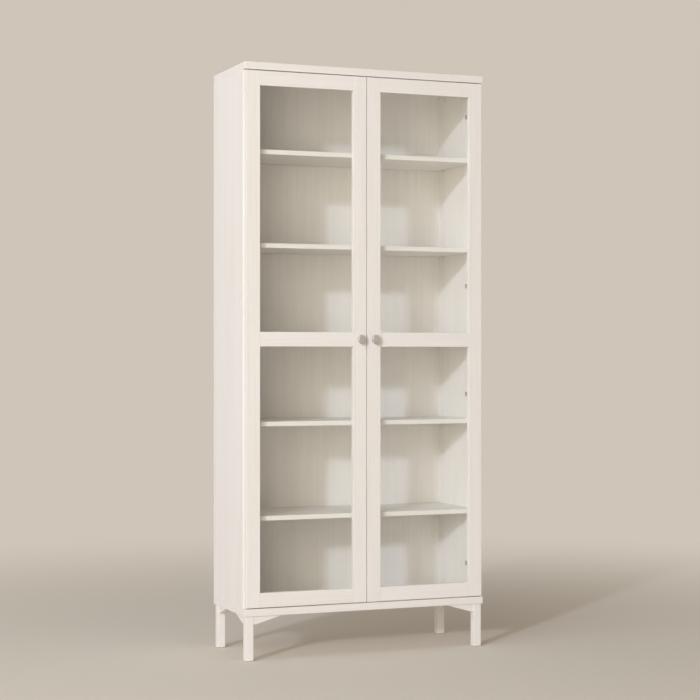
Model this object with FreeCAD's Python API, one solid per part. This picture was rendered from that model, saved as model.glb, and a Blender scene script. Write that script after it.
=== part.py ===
"""Two-door glazed display cabinet on square legs, with concealed hinges that swing.

Millimetres. +Z is up and the doors face -Y. The origin lies on the floor, midway between the
sides and midway between the knobs' fronts and the back edges.
"""
import FreeCAD, Part
import math
import os
from FreeCAD import Vector

# Whole cabinet
WIDTH = 900.0
DEPTH = 350.0              # top and base panels, front edge to back edge
HEIGHT = 2047.0
LEG_HEIGHT = 154.0         # floor to the underside of the base panel
PANEL_THICKNESS = 25.0     # top and base panels
SIDE_THICKNESS = 18.0
EDGE_ROUND = 1.0           # eased edges of panels, legs and door frames
CORNER_ROUND = 1.5         # upright edges of top, base and legs, more than the edges they meet

# Back, in two halves with a joint strip between them
BACK_THICKNESS = 3.0
BACK_INSET = 10.0          # back edges of the panels to the rear of the back's groove
GROOVE_DEPTH = 8.0
STRIP_WIDTH = 18.0
STRIP_FLANGE = 1.0
STRIP_WEB = 1.5

# Shelves: the middle one is fixed behind the doors' middle rails, the others lie on pins
SHELF_THICKNESS = 16.0
SHELF_SETBACK = 8.0        # behind the side panels' front edges
SHELF_BACK_GAP = 2.5
SHELF_END_GAP = 0.5
BOTTOM_SHELF_RISE = 314.0  # base panel up to the bottom shelf's top
LOWER_SHELF_DROP = 291.5   # middle shelf's top down to the lower shelf's top
UPPER_SHELF_RISE = 322.5   # middle shelf's top up to the upper shelf's top
TOP_SHELF_DROP = 269.0     # top panel's underside down to the top shelf's top
PIN_RADIUS = 2.5
PIN_IN_SIDE = 10.0
PIN_TONGUE = 9.0           # how far a pin's flat tongue reaches under its shelf
PIN_FROM_ENDS = 40.0       # shelf's front and back edges to its pins

# Legs, brackets and glides
LEG_SIZE = 28.0
LEG_INSET = 5.0            # base panel's edges to the legs' outer faces
BRACKET_THICKNESS = 16.0
BRACKET_RECESS = 2.0       # legs' outer faces to the brackets' faces
BRACKET_HEIGHT = 28.0
BRACKET_FLAT = 10.0        # level stretch beside the leg
BRACKET_TIP = 1.5          # height that is left at the thin end
FRONT_BRACKET_LENGTH = 102.0
SIDE_BRACKET_LENGTH = 90.0
GLIDE_RADIUS = 10.0
GLIDE_HEIGHT = 2.0
GLIDE_NAIL_RADIUS = 1.5
GLIDE_NAIL_LENGTH = 14.0
LEG_BOLT_RADIUS = 4.0
LEG_BOLT_IN_LEG = 40.0
LEG_BOLT_IN_BASE = 18.0

# Dowels and cam fittings of the carcass
DOWEL_RADIUS = 4.0
DOWEL_IN_FACE = 11.0
DOWEL_IN_END = 19.0
DOWEL_FROM_CAM = 32.0      # along the joint
CAM_FROM_EDGES = 50.0      # joint's front and back ends to the cams
CAM_REACH = 24.0           # joint face to the cam's centre
CAM_RADIUS = 7.5
CAM_FLOOR = 1.0            # cam left beyond the bolt's head
CAM_HEAD_RADIUS = 3.2
CAM_HEAD_LENGTH = 4.0
CAM_SHANK_RADIUS = 2.0
CAM_THREAD_RADIUS = 2.8
CAM_THREAD_LENGTH = 11.0
CAM_CAP_RADIUS = 9.0
CAM_CAP_THICKNESS = 1.2

# Doors
DOOR_THICKNESS = 18.0
DOOR_SIDE_INSET = 5.0      # side panel's outer face to the door's edge
DOOR_END_GAP = 3.5         # above and below the doors
DOOR_MEETING_GAP = 3.0
DOOR_BACK_GAP = 2.0        # door's back to the side panel's front edge
STILE_WIDTH = 50.0
RAIL_HEIGHT = 50.0
TENON_LENGTH = 18.0
TENON_THICKNESS = 6.0
TENON_FROM_FRONT = 2.5
TENON_SHOULDER = 9.0       # above and below each tenon
GLASS_LIP = 11.0           # door's front to the glass
GLASS_THICKNESS = 4.0
GLASS_EDGE_GAP = 1.0
REBATE_WIDTH = 8.0

# Knobs
KNOB_WIDTH = 25.0
KNOB_STRAIGHT = 7.0        # upright stretch of the head's sides between its half-round ends
KNOB_PROJECTION = 22.0
KNOB_HEAD_DEPTH = 9.0
KNOB_FACE_ROUND = 3.5      # round of the head's front edge
KNOB_UNDER_ROUND = 2.0     # round of the head's back edge
KNOB_NECK_RADIUS = 5.5
KNOB_FOOT_RADIUS = 8.0
KNOB_FLARE = 3.0           # height of the curves from the neck out to the foot and the head
KNOB_SCREW_RADIUS = 2.0
KNOB_SCREW_IN_KNOB = 9.0
KNOB_SCREW_HEAD_RADIUS = 4.0
KNOB_SCREW_HEAD_HEIGHT = 2.2

# Concealed hinges, seen from above with the left door shut
HINGE_FROM_DOOR_ENDS = 110.0
HINGE_FROM_DOOR_MIDDLE = 195.0
CUP_RADIUS = 17.5
CUP_FROM_DOOR_EDGE = 3.0
CUP_DEPTH = 12.0
CUP_WALL = 1.5
CUP_FLOOR = 1.0
CUP_RIM = 1.0              # flange beyond the bored hole
CUP_FLANGE = 1.2
CUP_EAR_RADIUS = 6.0
CUP_SCREW_SPACING = 48.0
CUP_SCREW_OFFSET = 6.0     # further from the door's edge than the cup's middle
CUP_SCREW_RADIUS = 1.7
CUP_SCREW_LENGTH = 10.0
CUP_SCREW_HEAD_RADIUS = 3.4
CUP_SCREW_HEAD_HEIGHT = 1.6
DOOR_PIVOT_FROM_EDGE = 8.8   # door's edge to the pin inside the cup
DOOR_PIVOT_DEPTH = 3.5       # below the door's back face
ARM_PIVOT_FROM_SIDE = 18.0   # side panel's inner face to the pin in the arm
ARM_PIVOT_FROM_DOOR = 7.0    # door's back face to the pin in the arm
LINK_THICKNESS = 2.5
LINK_WIDTH = 11.0
LINK_EYE_RADIUS = 2.8
LINK_NECK_LENGTH = 7.0       # from the cup's pin to the link's bend
LINK_NECK_ANGLE = -40.0      # of that stretch, into the cup
HINGE_PIN_RADIUS = 1.4
HINGE_PIN_SEAT = 0.6         # how far the cup's pin enters its wall
ARM_WIDTH = 15.0
ARM_WALL = 1.5
ARM_EYE_RADIUS = 4.8
ARM_NOSE = 4.0               # level stretch of the arm behind its pin
ARM_LENGTH = 66.0            # door's back face to the arm's rear end
ARM_SHOULDER = 24.0          # door's back face to where the arm levels out
PLATE_THICKNESS = 3.0
PLATE_LENGTH = 14.0
PLATE_SPAN = 50.0
PLATE_SETBACK = 37.0         # side panel's front edge to the plate screws
PLATE_RAIL_HEIGHT = 11.0
PLATE_RAIL_FRONT = 20.0      # door's back face to the rail's front end
PLATE_SCREW_SPACING = 32.0
PLATE_SCREW_RADIUS = 2.5
PLATE_SCREW_LENGTH = 12.0
PLATE_SCREW_HEAD_RADIUS = 4.5
PLATE_SCREW_HEAD_HEIGHT = 2.0

# Clearances
FIT = 0.1                  # pegs and screws in their holes, tenons in their mortises
PIN_FIT = 0.03             # hinge pins in the pieces that hold them
RUNNING_FIT = 0.06         # hinge links on their pins
SLIDE_FIT = 0.3            # hinge links beside the arms' cheeks, arms over their plates

# Levels and planes that follow from the sizes above
X_AXIS, Y_AXIS, Z_AXIS = Vector(1, 0, 0), Vector(0, 1, 0), Vector(0, 0, 1)
LEFT = -WIDTH / 2
SIDE_INNER = LEFT + SIDE_THICKNESS
FRONT = -(DEPTH - KNOB_PROJECTION) / 2
BACK = FRONT + DEPTH
BASE_BOTTOM = LEG_HEIGHT
BASE_TOP = BASE_BOTTOM + PANEL_THICKNESS
TOP_BOTTOM = HEIGHT - PANEL_THICKNESS
DOOR_BACK = FRONT + DOOR_THICKNESS
SIDE_FRONT = DOOR_BACK + DOOR_BACK_GAP
GROOVE_BACK = BACK - BACK_INSET
GROOVE_FRONT = GROOVE_BACK - BACK_THICKNESS - 2 * FIT
DOOR_LEFT = LEFT + DOOR_SIDE_INSET
DOOR_RIGHT = -DOOR_MEETING_GAP / 2
DOOR_BOTTOM = BASE_TOP + DOOR_END_GAP
DOOR_TOP = TOP_BOTTOM - DOOR_END_GAP
DOOR_MIDDLE = (DOOR_BOTTOM + DOOR_TOP) / 2
SHELF_FRONT = SIDE_FRONT + SHELF_SETBACK
SHELF_BACK = GROOVE_FRONT - SHELF_BACK_GAP
MIDDLE_SHELF_TOP = DOOR_MIDDLE + SHELF_THICKNESS / 2
BOTTOM_SHELF_TOP = BASE_TOP + BOTTOM_SHELF_RISE
LOWER_SHELF_TOP = MIDDLE_SHELF_TOP - LOWER_SHELF_DROP
UPPER_SHELF_TOP = MIDDLE_SHELF_TOP + UPPER_SHELF_RISE
TOP_SHELF_TOP = TOP_BOTTOM - TOP_SHELF_DROP
LOOSE_SHELVES = {
    "bottom_shelf": BOTTOM_SHELF_TOP,
    "lower_shelf": LOWER_SHELF_TOP,
    "upper_shelf": UPPER_SHELF_TOP,
    "top_shelf": TOP_SHELF_TOP,
}
HINGE_LEVELS = (
    DOOR_BOTTOM + HINGE_FROM_DOOR_ENDS,
    DOOR_MIDDLE - HINGE_FROM_DOOR_MIDDLE,
    DOOR_MIDDLE + HINGE_FROM_DOOR_MIDDLE,
    DOOR_TOP - HINGE_FROM_DOOR_ENDS,
)
CUP_X = DOOR_LEFT + CUP_FROM_DOOR_EDGE + CUP_RADIUS
CUP_SCREW_X = CUP_X + CUP_SCREW_OFFSET
DOOR_PIVOT = Vector(DOOR_LEFT + DOOR_PIVOT_FROM_EDGE, DOOR_BACK - DOOR_PIVOT_DEPTH, 0)
ARM_PIVOT = Vector(SIDE_INNER + ARM_PIVOT_FROM_SIDE, DOOR_BACK + ARM_PIVOT_FROM_DOOR, 0)
PLATE_SCREW_Y = SIDE_FRONT + PLATE_SETBACK
KNOB_X = DOOR_RIGHT - STILE_WIDTH / 2


# Shared forms

def box(low, high):
    """A block between two opposite corners."""
    low, high = Vector(*low), Vector(*high)
    size = high - low
    return Part.makeBox(size.x, size.y, size.z, low)


def rod(start, direction, radius, length):
    """A round bar from a point along a direction."""
    return Part.makeCylinder(radius, length, Vector(*start), direction)


def prism(points, direction):
    """A straight-sided outline, closed and pushed along a direction."""
    corners = [Vector(*point) for point in points]
    return Part.Face(Part.makePolygon(corners + corners[:1])).extrude(direction)


def edges_along(shape, axis, accept):
    """The straight edges of a shape that run along an axis and whose middle is accepted."""
    picked = []
    for edge in shape.Edges:
        run = edge.Vertexes[-1].Point - edge.Vertexes[0].Point
        if run.Length > 0 and abs(run.dot(axis)) > 0.999 * run.Length and accept(edge.CenterOfMass):
            picked.append(edge)
    return picked


def edges_in_plane(shape, axis, level):
    """The edges of a shape that lie in the plane at a level along an axis."""
    def lies_in_plane(edge):
        return all(abs(point.dot(axis) - level) < 0.01 for point in edge.discretize(4))

    return [edge for edge in shape.Edges if lies_in_plane(edge)]


def eased_front(shape, axis, front):
    """A shape with its front edges that run along an axis slightly rounded."""
    return shape.makeFillet(EDGE_ROUND, edges_along(shape, axis, lambda middle: abs(middle.y - front) < 0.01))


def eased_block(low, high):
    """A block with its upright edges rounded, and then the edges round its top and bottom."""
    block = box(low, high)
    post = block.makeFillet(CORNER_ROUND, edges_along(block, Z_AXIS, lambda middle: True))
    rims = edges_in_plane(post, Z_AXIS, low[2]) + edges_in_plane(post, Z_AXIS, high[2])
    return post.makeFillet(EDGE_ROUND, rims)


def fused(first, *others):
    """Several solids joined into one, without seams."""
    return first.fuse(list(others)).removeSplitter()


def mirrored(shape):
    """The same shape on the other side of the cabinet."""
    return shape.mirror(Vector(0, 0, 0), X_AXIS)


def both_sides(shapes):
    """Left-hand shapes and their right-hand partners."""
    return shapes + [mirrored(shape) for shape in shapes]


def screw(seat, direction, radius, length, head_radius, head_height, slack=0.0):
    """A screw, or with slack the hole that takes it, whose head bears on a seat."""
    shank = rod(seat, direction, radius + slack, length + slack)
    head = rod(seat, -direction, head_radius + slack, head_height)
    return fused(shank, head)


# Dowels and cam fittings

class CarcassJoint:
    """The end of one panel butted on the face of another."""

    def __init__(self, places, into_end, cam_direction, end_thickness):
        """places holds points on the joint face at half the end's thickness, front to back."""
        self.places = [Vector(*place) for place in places]
        self.into_end = into_end
        self.cam_direction = cam_direction
        self.end_thickness = end_thickness

    def along(self, cam_place, toward):
        """A point beside a cam, toward the middle of the joint."""
        return cam_place + (toward - cam_place).normalize() * DOWEL_FROM_CAM

    def dowel_places(self):
        front, back = self.places
        return [self.along(front, back), self.along(back, front)]

    def dowels(self, slack=0.0):
        length = DOWEL_IN_FACE + DOWEL_IN_END + 2 * slack
        starts = [place - self.into_end * (DOWEL_IN_FACE + slack) for place in self.dowel_places()]
        return [rod(start, self.into_end, DOWEL_RADIUS + slack, length) for start in starts]

    def bolts(self):
        shapes = []
        for place in self.places:
            head_start = CAM_REACH - CAM_HEAD_LENGTH / 2
            thread = rod(place, -self.into_end, CAM_THREAD_RADIUS, CAM_THREAD_LENGTH)
            shank = rod(place, self.into_end, CAM_SHANK_RADIUS, head_start)
            head = rod(place + self.into_end * head_start, self.into_end, CAM_HEAD_RADIUS, CAM_HEAD_LENGTH)
            shapes.append(fused(thread, shank, head))
        return shapes

    def thread_holes(self):
        radius, length = CAM_THREAD_RADIUS + FIT, CAM_THREAD_LENGTH + FIT
        return [rod(place, -self.into_end, radius, length) for place in self.places]

    def bolt_ways(self):
        """The bores that bolts pass along, to the far side of the cams' middles."""
        length = CAM_REACH + CAM_HEAD_LENGTH / 2 + FIT
        return [rod(place, self.into_end, CAM_HEAD_RADIUS + FIT, length) for place in self.places]

    def cam_discs(self, slack=0.0):
        length = self.end_thickness / 2 + CAM_HEAD_RADIUS + FIT + CAM_FLOOR
        discs = []
        for place in self.places:
            centre = place + self.into_end * CAM_REACH
            start = centre - self.cam_direction * (self.end_thickness / 2)
            discs.append(rod(start, self.cam_direction, CAM_RADIUS + slack, length + slack))
        return discs

    def cams(self):
        return [disc.cut(way) for disc, way in zip(self.cam_discs(), self.bolt_ways())]

    def cam_caps(self):
        """Thin covers with a bevelled rim, on the board's face over the cams."""
        caps = []
        outward = -self.cam_direction
        for place in self.places:
            seat = place + self.into_end * CAM_REACH + outward * (self.end_thickness / 2)
            cap = rod(seat, outward, CAM_CAP_RADIUS, CAM_CAP_THICKNESS)
            rim = edges_in_plane(cap, outward, seat.dot(outward) + CAM_CAP_THICKNESS)
            caps.append(cap.makeChamfer(CAM_CAP_THICKNESS / 2, rim))
        return caps

    def face_cuts(self):
        """What the joint takes out of the panel whose face is met."""
        return self.thread_holes() + self.dowels(FIT)

    def end_cuts(self):
        """What the joint takes out of the panel whose end butts."""
        return self.bolt_ways() + self.cam_discs(FIT) + self.dowels(FIT)


def side_end_joint(level, into_end):
    """Left side panel on the top or base panel."""
    middle = LEFT + SIDE_THICKNESS / 2
    front, back = SIDE_FRONT + CAM_FROM_EDGES, GROOVE_FRONT - CAM_FROM_EDGES
    return CarcassJoint([(middle, y, level) for y in (front, back)], into_end, -X_AXIS, SIDE_THICKNESS)


def middle_shelf_joint():
    """Middle shelf on the left side panel's inner face."""
    level = MIDDLE_SHELF_TOP - SHELF_THICKNESS / 2
    front, back = SHELF_FRONT + CAM_FROM_EDGES, SHELF_BACK - CAM_FROM_EDGES
    return CarcassJoint([(SIDE_INNER, y, level) for y in (front, back)], X_AXIS, Z_AXIS, SHELF_THICKNESS)


BASE_JOINT = side_end_joint(BASE_TOP, Z_AXIS)
TOP_JOINT = side_end_joint(TOP_BOTTOM, -Z_AXIS)
MIDDLE_JOINT = middle_shelf_joint()
CARCASS_JOINTS = (BASE_JOINT, TOP_JOINT, MIDDLE_JOINT)


# Carcass panels

def back_groove_along_x(low_z, high_z):
    """The groove for the back in the top or base panel."""
    end = -SIDE_INNER + GROOVE_DEPTH
    return box((-end, GROOVE_FRONT, low_z), (end, GROOVE_BACK, high_z))


def top_panel():
    panel = eased_block((LEFT, FRONT, TOP_BOTTOM), (-LEFT, BACK, HEIGHT))
    groove = back_groove_along_x(TOP_BOTTOM, TOP_BOTTOM + GROOVE_DEPTH)
    return panel.cut([groove] + both_sides(TOP_JOINT.face_cuts()))


def base_panel():
    panel = eased_block((LEFT, FRONT, BASE_BOTTOM), (-LEFT, BACK, BASE_TOP))
    groove = back_groove_along_x(BASE_TOP - GROOVE_DEPTH, BASE_TOP)
    return panel.cut([groove] + both_sides(BASE_JOINT.face_cuts()) + leg_bolts(FIT))


def left_side_panel():
    panel = box((LEFT, SIDE_FRONT, BASE_TOP), (SIDE_INNER, BACK, TOP_BOTTOM))
    panel = eased_front(panel, Z_AXIS, SIDE_FRONT)
    groove = box((SIDE_INNER - GROOVE_DEPTH, GROOVE_FRONT, BASE_TOP), (SIDE_INNER, GROOVE_BACK, TOP_BOTTOM))
    cuts = [groove] + BASE_JOINT.end_cuts() + TOP_JOINT.end_cuts() + MIDDLE_JOINT.face_cuts()
    return panel.cut(cuts + left_shelf_pins(FIT) + plate_screws(FIT))


def back_panel_left():
    reach = GROOVE_DEPTH - FIT
    low = (SIDE_INNER - reach, GROOVE_FRONT + FIT, BASE_TOP - reach)
    high = (-STRIP_WEB / 2 - FIT, GROOVE_BACK - FIT, TOP_BOTTOM + reach)
    return box(low, high)


def back_joint_strip():
    """An H-section strip that holds the meeting edges of the back's two halves."""
    front_flange = GROOVE_FRONT
    back_flange = GROOVE_BACK
    half_width, half_web = STRIP_WIDTH / 2, STRIP_WEB / 2
    half_outline = [
        (half_width, front_flange - STRIP_FLANGE),
        (half_width, front_flange),
        (half_web, front_flange),
        (half_web, back_flange),
        (half_width, back_flange),
        (half_width, back_flange + STRIP_FLANGE),
    ]
    outline = half_outline + [(-x, y) for x, y in reversed(half_outline)]
    return prism([(x, y, BASE_TOP) for x, y in outline], Z_AXIS * (TOP_BOTTOM - BASE_TOP))


# Shelves and their pins

def shelf(top, end_gap):
    half = -SIDE_INNER - end_gap
    board = box((-half, SHELF_FRONT, top - SHELF_THICKNESS), (half, SHELF_BACK, top))
    return eased_front(board, X_AXIS, SHELF_FRONT)


def middle_shelf():
    return shelf(MIDDLE_SHELF_TOP, 0.0).cut(both_sides(MIDDLE_JOINT.end_cuts()))


def shelf_pin(y, shelf_bottom, slack):
    """A peg in the left side panel with a flat tongue under the shelf."""
    axis_level = shelf_bottom - PIN_RADIUS
    peg = rod((SIDE_INNER, y, axis_level), -X_AXIS, PIN_RADIUS + slack, PIN_IN_SIDE + slack)
    if slack:
        return peg
    tongue_low = (SIDE_INNER, y - 2 * PIN_RADIUS, axis_level)
    tongue_high = (SIDE_INNER + PIN_TONGUE, y + 2 * PIN_RADIUS, shelf_bottom)
    return fused(peg, box(tongue_low, tongue_high))


def left_shelf_pins(slack=0.0):
    pins = []
    for top in LOOSE_SHELVES.values():
        for y in (SHELF_FRONT + PIN_FROM_ENDS, SHELF_BACK - PIN_FROM_ENDS):
            pins.append(shelf_pin(y, top - SHELF_THICKNESS, slack))
    return pins


# Legs, brackets, bolts and glides

LEG_LEFT = LEFT + LEG_INSET
LEG_FRONT = FRONT + LEG_INSET
LEG_BACK = BACK - LEG_INSET - LEG_SIZE


def leg_axis(leg_y):
    """The middle of a left leg, seen from above."""
    return Vector(LEG_LEFT + LEG_SIZE / 2, leg_y + LEG_SIZE / 2, 0)


def left_leg_bolts(slack=0.0):
    length = LEG_BOLT_IN_LEG + LEG_BOLT_IN_BASE + 2 * slack
    foot = Z_AXIS * (BASE_BOTTOM - LEG_BOLT_IN_LEG - slack)
    return [rod(leg_axis(y) + foot, Z_AXIS, LEG_BOLT_RADIUS + slack, length) for y in (LEG_FRONT, LEG_BACK)]


def leg_bolts(slack=0.0):
    return both_sides(left_leg_bolts(slack))


def glide_nails(slack=0.0):
    length = GLIDE_NAIL_LENGTH + slack
    foot = Z_AXIS * GLIDE_HEIGHT
    return [rod(leg_axis(y) + foot, Z_AXIS, GLIDE_NAIL_RADIUS + slack, length) for y in (LEG_FRONT, LEG_BACK)]


def foot_glides():
    glides = []
    for y, nail in zip((LEG_FRONT, LEG_BACK), glide_nails()):
        disc = rod(leg_axis(y), Z_AXIS, GLIDE_RADIUS, GLIDE_HEIGHT)
        eased = disc.makeChamfer(GLIDE_HEIGHT / 3, edges_in_plane(disc, Z_AXIS, 0.0))
        glides.append(fused(eased, nail))
    return both_sides(glides)


def left_leg(y):
    post = eased_block((LEG_LEFT, y, GLIDE_HEIGHT), (LEG_LEFT + LEG_SIZE, y + LEG_SIZE, BASE_BOTTOM))
    return post.cut(left_leg_bolts(FIT) + glide_nails(FIT))


def bracket_profile(length):
    """A bracket's outline as distance from the leg and height above the floor."""
    low = BASE_BOTTOM - BRACKET_HEIGHT
    tip = BASE_BOTTOM - BRACKET_TIP
    return [(0, BASE_BOTTOM), (0, low), (BRACKET_FLAT, low), (length, tip), (length, BASE_BOTTOM)]


def bracket_along_x(face_y):
    """The bracket beside a left leg that runs toward the middle of the cabinet."""
    start = LEG_LEFT + LEG_SIZE
    points = [(start + run, face_y, z) for run, z in bracket_profile(FRONT_BRACKET_LENGTH)]
    return prism(points, Y_AXIS * BRACKET_THICKNESS)


def bracket_along_y(leg_face, heading):
    """The bracket beside a left leg that runs along the side, with a heading of +1 or -1 in Y."""
    x = LEG_LEFT + BRACKET_RECESS
    points = [(x, leg_face + heading * run, z) for run, z in bracket_profile(SIDE_BRACKET_LENGTH)]
    return prism(points, X_AXIS * BRACKET_THICKNESS)


def left_brackets():
    return [bracket_along_y(LEG_FRONT + LEG_SIZE, 1), bracket_along_y(LEG_BACK, -1)]


def front_brackets():
    return both_sides([bracket_along_x(LEG_FRONT + BRACKET_RECESS)])


def back_brackets():
    return both_sides([bracket_along_x(LEG_BACK + LEG_SIZE - BRACKET_RECESS - BRACKET_THICKNESS)])


# Concealed hinges: cup, link, arm and plate of the left door, repeated at each level

def at_levels(make):
    """One shape at each hinge level."""
    return [shape for level in HINGE_LEVELS for shape in make(level)]


def hinge_cup(level):
    """A pressed cup with a thin flange and two ears, bored for its pin."""
    mouth = (CUP_X, DOOR_BACK, level)
    flange = rod(mouth, Y_AXIS, CUP_RADIUS + CUP_RIM, CUP_FLANGE)
    half_spacing = CUP_SCREW_SPACING / 2
    ears = [rod((CUP_SCREW_X, DOOR_BACK, level + side), Y_AXIS, CUP_EAR_RADIUS, CUP_FLANGE)
            for side in (-half_spacing, half_spacing)]
    bridge_low = (CUP_SCREW_X - CUP_EAR_RADIUS, DOOR_BACK, level - half_spacing)
    bridge_high = (CUP_SCREW_X + CUP_EAR_RADIUS, DOOR_BACK + CUP_FLANGE, level + half_spacing)
    shell = rod(mouth, -Y_AXIS, CUP_RADIUS - FIT, CUP_DEPTH)
    body = fused(flange, shell, box(bridge_low, bridge_high), *ears)
    hollow_mouth = (CUP_X, DOOR_BACK + CUP_FLANGE, level)
    hollow = rod(hollow_mouth, -Y_AXIS, CUP_RADIUS - CUP_WALL, CUP_DEPTH + CUP_FLANGE - CUP_FLOOR)
    cuts = [hollow] + door_pivot_pins(level, PIN_FIT) + cup_screws_at(level, FIT)
    return [body.cut(cuts)]


def door_pivot_pins(level, slack=0.0):
    """The pin across the cup that the door turns on."""
    across = CUP_X - DOOR_PIVOT.x
    half_chord = math.sqrt((CUP_RADIUS - CUP_WALL) ** 2 - across ** 2) + HINGE_PIN_SEAT
    start = DOOR_PIVOT + Z_AXIS * (level - half_chord - slack)
    return [rod(start, Z_AXIS, HINGE_PIN_RADIUS + slack, 2 * (half_chord + slack))]


def cup_screws_at(level, slack=0.0):
    seats = [(CUP_SCREW_X, DOOR_BACK + CUP_FLANGE, level + side * CUP_SCREW_SPACING / 2) for side in (-1, 1)]
    return [screw(seat, -Y_AXIS, CUP_SCREW_RADIUS, CUP_SCREW_LENGTH, CUP_SCREW_HEAD_RADIUS,
                  CUP_SCREW_HEAD_HEIGHT, slack) for seat in seats]


def cup_bores(level):
    return [rod((CUP_X, DOOR_BACK, level), -Y_AXIS, CUP_RADIUS, CUP_DEPTH + FIT)]


def flat_bar(start, end, low, height):
    """A straight length of strip on edge between two points seen from above."""
    run = (end - start).normalize()
    across = Vector(-run.y, run.x, 0) * (LINK_THICKNESS / 2)
    lift = Z_AXIS * low
    corners = [start + across + lift, end + across + lift, end - across + lift, start - across + lift]
    return prism(corners, Z_AXIS * height)


def hinge_link(level):
    """A gooseneck link from the cup's pin, down into the cup and out to the arm's pin."""
    angle = math.radians(LINK_NECK_ANGLE)
    bend = DOOR_PIVOT + Vector(math.cos(angle), math.sin(angle), 0) * LINK_NECK_LENGTH
    low = level - LINK_WIDTH / 2
    pivots = [pivot + Z_AXIS * low for pivot in (DOOR_PIVOT, ARM_PIVOT)]
    eyes = [rod(pivot, Z_AXIS, LINK_EYE_RADIUS, LINK_WIDTH) for pivot in pivots]
    elbow = rod(bend + Z_AXIS * low, Z_AXIS, LINK_THICKNESS / 2, LINK_WIDTH)
    bars = [flat_bar(DOOR_PIVOT, bend, low, LINK_WIDTH), flat_bar(bend, ARM_PIVOT, low, LINK_WIDTH)]
    body = fused(elbow, *eyes, *bars)
    bores = [rod(pivot, Z_AXIS, HINGE_PIN_RADIUS + RUNNING_FIT, LINK_WIDTH) for pivot in pivots]
    return [body.cut(bores)]


def arm_pins(level, slack=0.0):
    start = ARM_PIVOT + Z_AXIS * (level - ARM_WIDTH / 2)
    return [rod(start, Z_AXIS, HINGE_PIN_RADIUS + slack, ARM_WIDTH)]


def hinge_arm(level):
    """A channel-shaped arm over the plate's rail, with two cheeks that carry the link's pin."""
    low = level - ARM_WIDTH / 2
    rear, shoulder = DOOR_BACK + ARM_LENGTH, DOOR_BACK + ARM_SHOULDER
    web_top = SIDE_INNER + PLATE_RAIL_HEIGHT + FIT + ARM_WALL
    nose_top = ARM_PIVOT.x + ARM_EYE_RADIUS
    foot = SIDE_INNER + PLATE_THICKNESS + SLIDE_FIT
    nose_bottom = ARM_PIVOT.x - ARM_EYE_RADIUS
    nose_end = ARM_PIVOT.y + ARM_NOSE
    outline = [(foot, rear), (web_top, rear), (web_top, shoulder), (nose_top, nose_end),
               (nose_top, ARM_PIVOT.y), (nose_bottom, ARM_PIVOT.y), (foot, shoulder)]
    solid = fused(prism([(x, y, low) for x, y in outline], Z_AXIS * ARM_WIDTH),
                  rod(ARM_PIVOT + Z_AXIS * low, Z_AXIS, ARM_EYE_RADIUS, ARM_WIDTH))
    inside = LINK_WIDTH + 2 * SLIDE_FIT
    ahead = ARM_PIVOT.y - 2 * ARM_EYE_RADIUS
    hollow = [(SIDE_INNER, rear), (web_top - ARM_WALL, rear), (web_top - ARM_WALL, shoulder),
              (nose_top - ARM_WALL, nose_end), (nose_top - ARM_WALL, ahead), (SIDE_INNER, ahead)]
    channel = prism([(x, y, level - inside / 2) for x, y in hollow], Z_AXIS * inside)
    return [solid.cut([channel] + arm_pins(level, PIN_FIT))]


def hinge_plate(level):
    """A winged plate with a raised rail, on the side panel's inner face."""
    wings = box((SIDE_INNER, PLATE_SCREW_Y - PLATE_LENGTH / 2, level - PLATE_SPAN / 2),
                (SIDE_INNER + PLATE_THICKNESS, PLATE_SCREW_Y + PLATE_LENGTH / 2, level + PLATE_SPAN / 2))
    rail = box((SIDE_INNER, DOOR_BACK + PLATE_RAIL_FRONT, level - LINK_WIDTH / 2),
               (SIDE_INNER + PLATE_RAIL_HEIGHT, DOOR_BACK + ARM_LENGTH, level + LINK_WIDTH / 2))
    corners = edges_along(wings, X_AXIS, lambda middle: True)
    wings = wings.makeFillet(PLATE_LENGTH / 3, corners)
    return [fused(wings, rail).cut(plate_screws_at(level, FIT))]


def plate_screws_at(level, slack=0.0):
    seat_x = SIDE_INNER + PLATE_THICKNESS
    seats = [(seat_x, PLATE_SCREW_Y, level + side * PLATE_SCREW_SPACING / 2) for side in (-1, 1)]
    return [screw(seat, -X_AXIS, PLATE_SCREW_RADIUS, PLATE_SCREW_LENGTH, PLATE_SCREW_HEAD_RADIUS,
                  PLATE_SCREW_HEAD_HEIGHT, slack) for seat in seats]


def plate_screws(slack=0.0):
    return at_levels(lambda level: plate_screws_at(level, slack))


# Left door frame, glass and beads

LOWER_PANE = (DOOR_BOTTOM + RAIL_HEIGHT, DOOR_MIDDLE - RAIL_HEIGHT / 2)
UPPER_PANE = (DOOR_MIDDLE + RAIL_HEIGHT / 2, DOOR_TOP - RAIL_HEIGHT)
PANES = (LOWER_PANE, UPPER_PANE)
PANE_LEFT = DOOR_LEFT + STILE_WIDTH
PANE_RIGHT = DOOR_RIGHT - STILE_WIDTH
GLASS_FRONT = FRONT + GLASS_LIP
BEAD_FRONT = GLASS_FRONT + GLASS_THICKNESS
RAIL_BOTTOMS = {
    "bottom_rail": DOOR_BOTTOM,
    "middle_rail": DOOR_MIDDLE - RAIL_HEIGHT / 2,
    "top_rail": DOOR_TOP - RAIL_HEIGHT,
}


def pane_block(pane, growth, front, back):
    """A block as large as a pane's opening, grown at its edges."""
    low, high = pane
    return box((PANE_LEFT - growth, front, low - growth), (PANE_RIGHT + growth, back, high + growth))


def rebates():
    return [pane_block(pane, REBATE_WIDTH, GLASS_FRONT, DOOR_BACK) for pane in PANES]


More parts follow.
